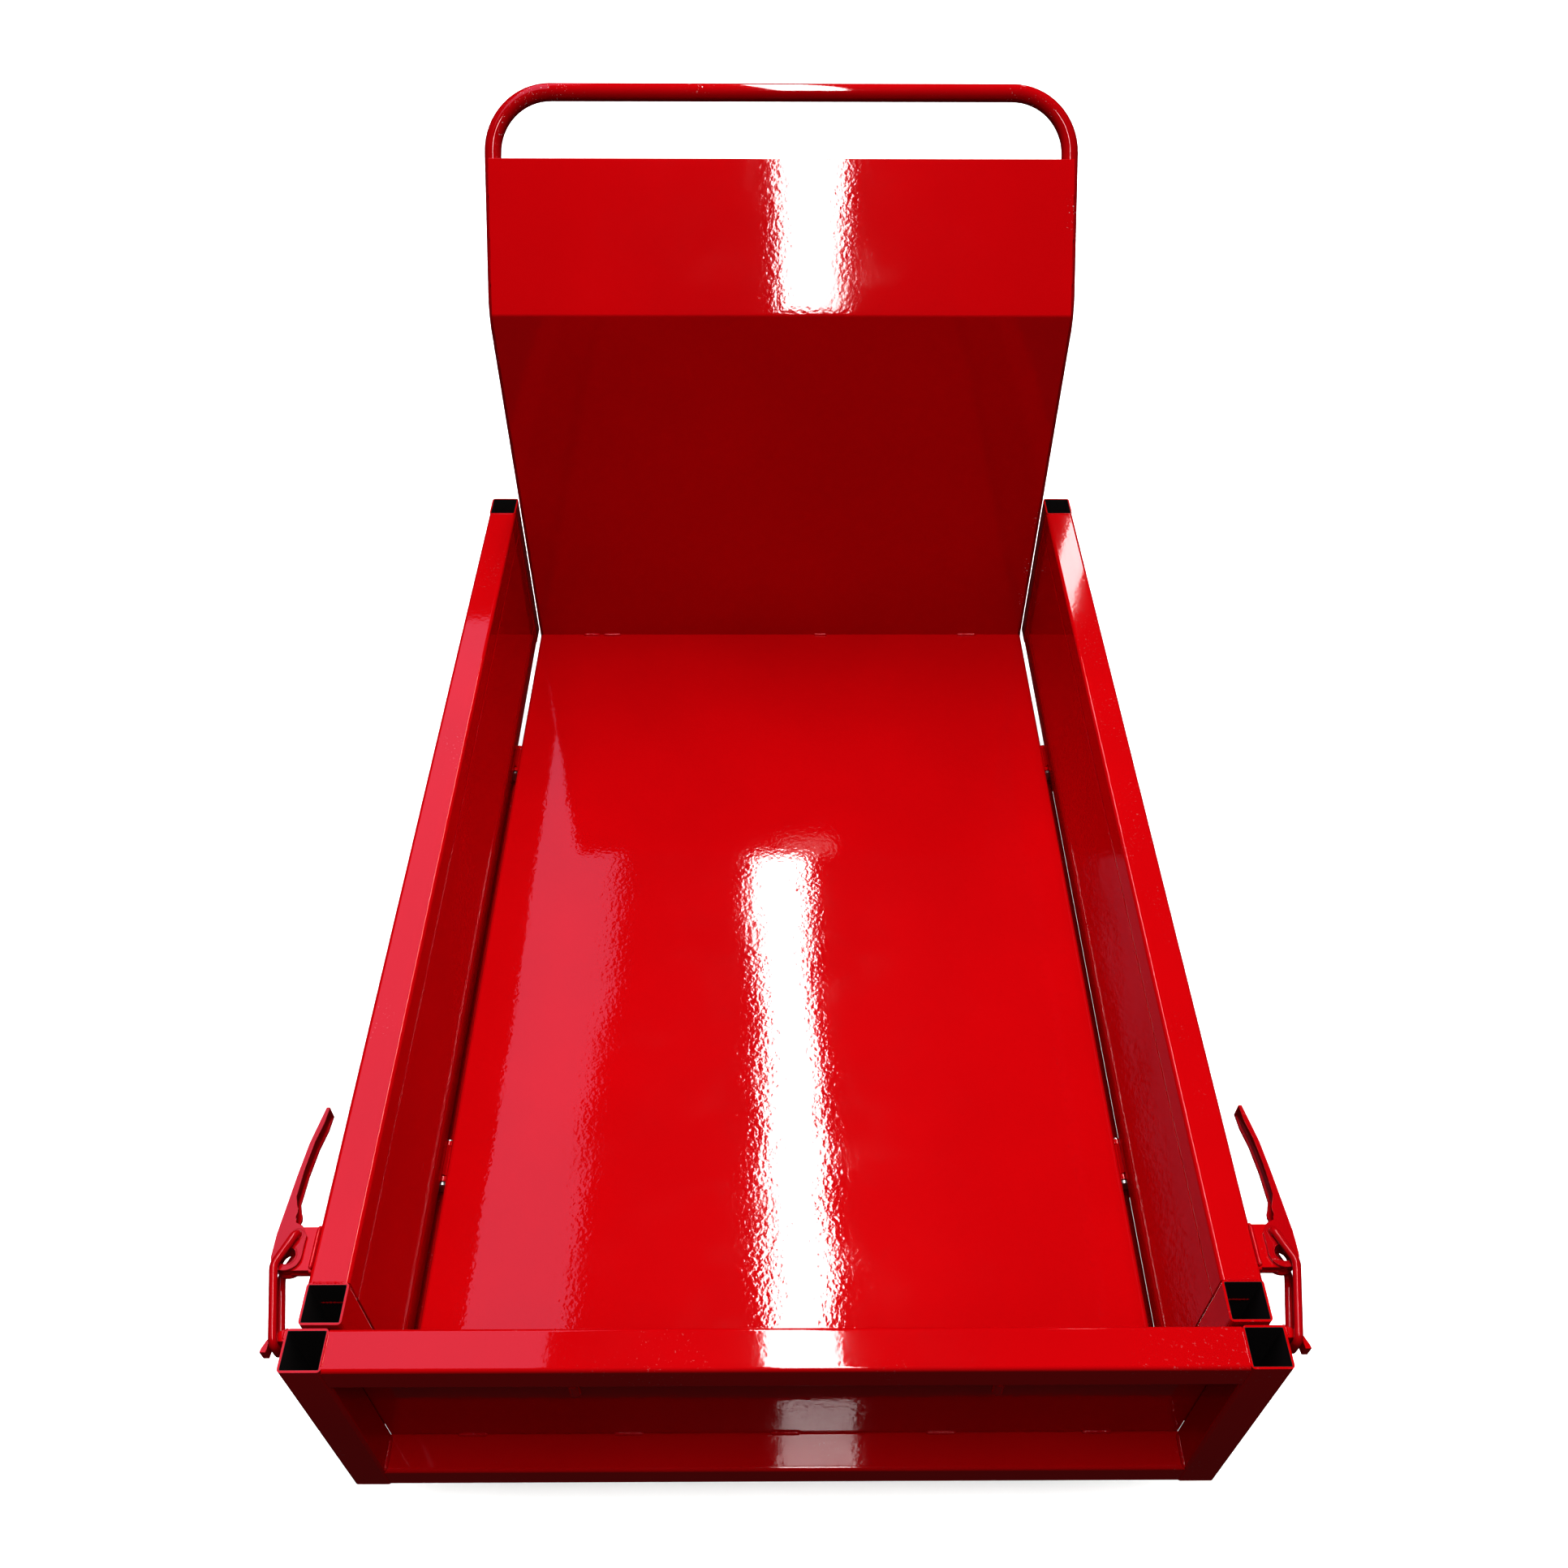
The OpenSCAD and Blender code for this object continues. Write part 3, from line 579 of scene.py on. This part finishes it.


# the bail rod takes the same darker red as the levers: painted shade
red_rod_painted_shade = powder_coat("red_rod_painted_shade", paint=painted_shade_red, peel=0.009, chips=0.6)
for side, s in (("left", -1), ("right", 1)):
    lo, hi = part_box(side + "_bail")
    mid = (lo.z + hi.z) / 2
    toe, knee, bar = (0.3530, -0.475757), (0.3635, -0.499457), (0.3505, -0.555257)
    leg, tip, rod = 0.0107, 0.0051, 0.003
    upper = [(toe, tip), (toe, leg), (knee, leg), (bar, leg)]
    lower = [(p, -h) for p, h in upper[::-1]]
    points = [(s * p[0], p[1], mid + h) for p, h in upper + lower]
    bends = [0, 0.0036, 0.012, 0.0055]
    bm = bmesh.new()
    sweep_rod(bm, round_path(points, bends + bends[::-1]), rod)
    bail = keep_mesh(bm, side + "_bail_rod", side + "_latch_bail", red_rod_painted_shade)
    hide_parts(side + "_bail")

# ---- Welds ----
# MIG beads laid where tube meets tube, then powder coated with the frames. Beads on
# the gates' outer faces are dressed nearly flush.
red_weld = powder_coat("red_weld", paint=(0.46, 0.0009, 0.004), peel=0.02, chips=0.5)
wander = random.Random(7)


def bead(bm, a, b, r=0.0022, pitch=0.0026):
    """One weld bead from a to b: overlapping ripples with a little wander."""
    a, b = Vector(a), Vector(b)
    length = (b - a).length
    n = max(6, int(length / (pitch / 4)))
    path, radii = [], []
    across = (b - a).orthogonal().normalized()
    for i in range(n + 1):
        t = i / n
        path.append(a.lerp(b, t) + across * wander.uniform(-1, 1) * r * 0.06)
        ripple = 0.86 + 0.14 * abs(math.sin(math.pi * t * length / pitch))
        end = min(1.0, 0.45 + 3 * min(t, 1 - t) * length / (4 * r) * 0.8)
        radii.append(r * ripple * end * wander.uniform(0.97, 1.03))
    sweep_rod(bm, path, radii, sides=8)


def ring_bead(bm, centre, axis, radius, r=0.0016):
    """A weld all round a peg or bush."""
    axis = Vector(axis)
    u = axis.orthogonal().normalized()
    v = axis.cross(u)
    n = max(24, int(2 * math.pi * radius / 0.0009))
    path = [Vector(centre) + (u * math.cos(2 * math.pi * i / n) + v * math.sin(2 * math.pi * i / n)) * radius
            for i in range(n)]
    radii = [r * (0.84 + 0.16 * abs(math.sin(math.pi * i * 0.32))) * wander.uniform(0.97, 1.03)
             for i in range(n)]
    sweep_rod(bm, path, radii, sides=8, closed=True)


def frame_welds(bm, post, rail, post_side, axis, inner, outer):
    """Beads at a rail's end: in the corner on its inner side, and dressed ones on its faces."""
    plo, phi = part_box(post)
    rlo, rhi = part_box(rail)
    cross = 1 - axis
    at = plo[axis] if post_side > 0 else phi[axis]

    def p(c, z):
        q = [0, 0, z]
        q[axis], q[cross] = at, c
        return q

    low, high = rlo[cross], rhi[cross]
    z = rhi.z if rail.endswith("bottom_rail") else rlo.z
    clo, chi = low + inner, high - outer
    bead(bm, p(clo, z), p(chi, z), r=0.0024)
    for c, into in ((low, 0.0017), (high, -0.0017)):
        bead(bm, p(c + into, rlo.z + 0.003), p(c + into, rhi.z - 0.003), r=0.0015)
    top = rhi.z - 0.0011 if rail.endswith("top_rail") else rlo.z + 0.0011
    bead(bm, p(low + 0.003, top), p(high - 0.003, top), r=0.0015)


# front gate: rail ends, panel stitches, keepers and pegs
bm = bmesh.new()
for side, s in (("left", -1), ("right", 1)):
    post = "front_post_" + side
    for rail in ("front_top_rail", "front_bottom_rail"):
        frame_welds(bm, post, rail, s, 0, 0.001, 0.0035)
    lo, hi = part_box("keeper_" + side)
    plo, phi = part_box(post)
    x = phi.x if s > 0 else plo.x
    for z in (lo.z + 0.0006, hi.z - 0.0006):
        bead(bm, (x + s * 0.0006, phi.y - 0.0075, z), (x + s * 0.0006, phi.y - 0.0005, z), r=0.0014)
    x, y = x + s * 0.0004, hi.y + 0.0003
    bead(bm, (x, y, lo.z + 0.001), (x, y, hi.z - 0.001), r=0.0013)
plo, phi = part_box("front_panel")
for i in range(5):
    x, y = -0.25 + 0.125 * i, plo.y - 0.0004
    for z in (plo.z + 0.0004, phi.z - 0.0004):
        bead(bm, (x - 0.012, y, z), (x + 0.012, y, z), r=0.0018)
lo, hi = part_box("rope_pegs")
for x in (lo.x + 0.004, hi.x - 0.004):
    ring_bead(bm, (x, plo.y - 0.0002, hi.z - 0.004), (0, 1, 0), 0.0045)
keep_mesh(bm, "front_gate_welds", "front_gate", red_weld)

# side gates: rail ends, panel stitches and the latch brackets
for side, s in (("left", -1), ("right", 1)):
    bm = bmesh.new()
    for post, d in ((side + "_front_post", -1), (side + "_rear_post", 1)):
        for rail in (side + "_top_rail", side + "_bottom_rail"):
            if s > 0:
                frame_welds(bm, post, rail, d, 1, 0.0035, 0.001)
            else:
                frame_welds(bm, post, rail, d, 1, 0.001, 0.0035)
    plo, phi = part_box(side + "_panel")
    x = phi.x + 0.0004 if s > 0 else plo.x - 0.0004
    for i in range(7):
        y = plo.y + 0.06 + (phi.y - plo.y - 0.12) * i / 6
        for z in (plo.z + 0.0004, phi.z - 0.0004):
            bead(bm, (x, y - 0.012, z), (x, y + 0.012, z), r=0.0018)
    lo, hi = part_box(side + "_latch_bracket")
    x = lo.x + 0.0004 if s > 0 else hi.x - 0.0004
    for z in (lo.z - 0.0002, hi.z + 0.0002):
        bead(bm, (x, lo.y + 0.001, z), (x, hi.y - 0.001, z), r=0.0017)
    for y in (lo.y - 0.0002, hi.y + 0.0002):
        bead(bm, (x, y, lo.z), (x, y, hi.z), r=0.0017)
    keep_mesh(bm, side + "_gate_welds", side + "_gate", red_weld)

# bed: crossings of the underframe, bushes, lug, hoop stitches and the floor's rear edge
bm = bmesh.new()
for side, s in (("left", -1), ("right", 1)):
    rlo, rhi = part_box("base_rail_" + side)
    for i in range(1, 5):
        clo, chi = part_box(f"cross_member_{i}")
        start, end, z = max(clo.y, rlo.y) + 0.002, min(chi.y, rhi.y) - 0.002, clo.z - 0.0006
        for x in (rlo.x + 0.001, rhi.x - 0.001):
            bead(bm, (x, start, z), (x, end, z), r=0.0028)
    blo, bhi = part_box("pivot_bush_" + side)
    for x in (rlo.x - 0.0004, rhi.x + 0.0004):
        centre = (x, (blo.y + bhi.y) / 2, (blo.z + bhi.z) / 2)
        ring_bead(bm, centre, (1, 0, 0), (bhi.y - blo.y) / 2 + 0.0006, r=0.0018)
    hlo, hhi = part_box("headboard")
    edge = s * (hhi.x - 0.0006)
    for k in range(5):
        z = 0.115 + 0.092 * k
        bead(bm, (edge, hlo.y + 0.0026, z), (edge, hlo.y + 0.0026, z + 0.026), r=0.0021)
    for t in (0.030, 0.075, 0.118):
        a = Vector((edge, hlo.y + t * math.sin(lean), fold_z + t * math.cos(lean)))
        b = a + Vector((0, math.sin(lean), math.cos(lean))) * 0.028
        off = Vector((0, math.cos(lean), -math.sin(lean))) * 0.0022
        bead(bm, a + off, b + off, r=0.0021)
llo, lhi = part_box("strut_lug")
for x in (-0.016, -0.010, 0.010, 0.016):
    bead(bm, (x, -0.050, lhi.z - 0.0052), (x, 0.005, lhi.z - 0.0052), r=0.0024)
for y in (llo.y, lhi.y):
    bead(bm, (llo.x + 0.004, y, lhi.z - 0.0004), (lhi.x - 0.004, y, lhi.z - 0.0004), r=0.0024)
flo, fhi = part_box("floor_pan")
for x, run in ((-0.239, 0.010), (-0.213, 0.011), (0.05, 0.008), (0.235, 0.012)):
    bead(bm, (x - run, fhi.y - 0.0008, fhi.z + 0.0004), (x + run, fhi.y - 0.0008, fhi.z + 0.0004), r=0.0021)
keep_mesh(bm, "bed_welds", "bed", red_weld)
